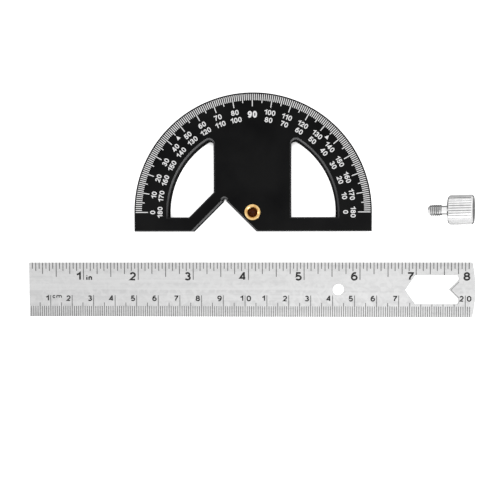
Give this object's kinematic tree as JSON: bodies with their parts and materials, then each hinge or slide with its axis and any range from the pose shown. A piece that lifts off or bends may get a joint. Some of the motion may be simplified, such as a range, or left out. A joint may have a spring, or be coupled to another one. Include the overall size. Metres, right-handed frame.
{
  "type": "angle ruler",
  "caption": "Angle ruler taken apart: black protractor head with windows and a brass insert, steel rule in inches and centimetres, knurled thumb screw.",
  "frame": {"origin": "the protractor's pivot, the axis of the brass insert, on the plane that the pieces lie on", "axes": "+X along the protractor's base line and the rule, towards the screw; +Y to the 90 degree mark; +Z out of the printed faces"},
  "size_m": [0.2046, 0.1005, 0.0158],
  "materials": {
    "head_plastic": "satin black moulded plastic",
    "brass": "turned, bright",
    "white_print": "white printed marks",
    "steel": "fine lengthwise brushing",
    "black_fill": "black filled marks",
    "bright_plate": "bright nickel plate over steel"
  },
  "bodies": {
    "root": {"protractor_head": "head_plastic", "threaded_insert": "brass", "degree_marks": "white_print", "steel_rule": "steel", "inch_marks": "black_fill", "metric_marks": "black_fill", "thumb_screw": "bright_plate"}
  },
  "joints": []
}
